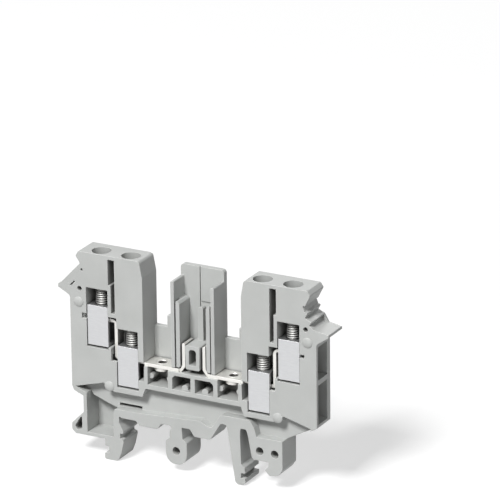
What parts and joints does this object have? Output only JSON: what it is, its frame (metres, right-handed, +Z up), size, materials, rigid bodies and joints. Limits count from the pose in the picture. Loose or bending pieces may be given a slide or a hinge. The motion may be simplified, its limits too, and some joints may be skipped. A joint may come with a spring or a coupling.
{
  "type": "feed-through terminal block",
  "caption": "Grey rail-mounted feed-through terminal block: two screw clamps at each end on two levels, a split current bar with bridge threads and a centre socket, and a foot that clips onto the rail.",
  "frame": {"origin": "on the mounting rail's centre line, level with the tops of its flanges, at half the block's width", "axes": "+X along the block's length to its right end, +Y along the rail to the block's closed side, +Z up, away from the rail"},
  "size_m": [0.0636, 0.0066, 0.0459],
  "materials": {
    "grey_polyamide": "moulded satin",
    "tinned_copper": "bright tin plating",
    "plated_steel_cage": "smooth plating",
    "plated_steel_screw": "bright plating"
  },
  "bodies": {
    "housing": {"housing": "grey_polyamide", "current_bar_left": "tinned_copper", "current_bar_right": "tinned_copper"},
    "screw_left_outer": {"clamp_screw_left_outer": "plated_steel_screw"},
    "cage_left_outer": {"clamp_cage_left_outer": "plated_steel_cage"},
    "screw_left_inner": {"clamp_screw_left_inner": "plated_steel_screw"},
    "cage_left_inner": {"clamp_cage_left_inner": "plated_steel_cage"},
    "screw_right_outer": {"clamp_screw_right_outer": "plated_steel_screw"},
    "cage_right_outer": {"clamp_cage_right_outer": "plated_steel_cage"},
    "screw_right_inner": {"clamp_screw_right_inner": "plated_steel_screw"},
    "cage_right_inner": {"clamp_cage_right_inner": "plated_steel_cage"}
  },
  "joints": [
    {"name": "screw_turn_left_outer", "type": "hinge", "parent": "housing", "child": "screw_left_outer", "pos_m": [-0.0225, -0.0006, 0.03275], "axis": [0, 0, -1], "range_deg": [0, 2520]},
    {"name": "cage_lift_left_outer", "type": "slide", "parent": "housing", "child": "cage_left_outer", "axis": [0, 0, 1], "range_m": [0, 0.0035]},
    {"name": "screw_turn_left_inner", "type": "hinge", "parent": "housing", "child": "screw_left_inner", "pos_m": [-0.01545, -0.0006, 0.02465], "axis": [0, 0, -1], "range_deg": [0, 2520]},
    {"name": "cage_lift_left_inner", "type": "slide", "parent": "housing", "child": "cage_left_inner", "axis": [0, 0, 1], "range_m": [0, 0.0035]},
    {"name": "screw_turn_right_outer", "type": "hinge", "parent": "housing", "child": "screw_right_outer", "pos_m": [0.0225, -0.0006, 0.03275], "axis": [0, 0, -1], "range_deg": [0, 2520]},
    {"name": "cage_lift_right_outer", "type": "slide", "parent": "housing", "child": "cage_right_outer", "axis": [0, 0, 1], "range_m": [0, 0.0035]},
    {"name": "screw_turn_right_inner", "type": "hinge", "parent": "housing", "child": "screw_right_inner", "pos_m": [0.01545, -0.0006, 0.02465], "axis": [0, 0, -1], "range_deg": [0, 2520]},
    {"name": "cage_lift_right_inner", "type": "slide", "parent": "housing", "child": "cage_right_inner", "axis": [0, 0, 1], "range_m": [0, 0.0035]}
  ],
  "couplings": [
    {"joint": "screw_turn_left_outer", "follows": "cage_lift_left_outer", "rad_per_m": 12566},
    {"joint": "screw_turn_left_inner", "follows": "cage_lift_left_inner", "rad_per_m": 12566},
    {"joint": "screw_turn_right_outer", "follows": "cage_lift_right_outer", "rad_per_m": 12566},
    {"joint": "screw_turn_right_inner", "follows": "cage_lift_right_inner", "rad_per_m": 12566}
  ]
}
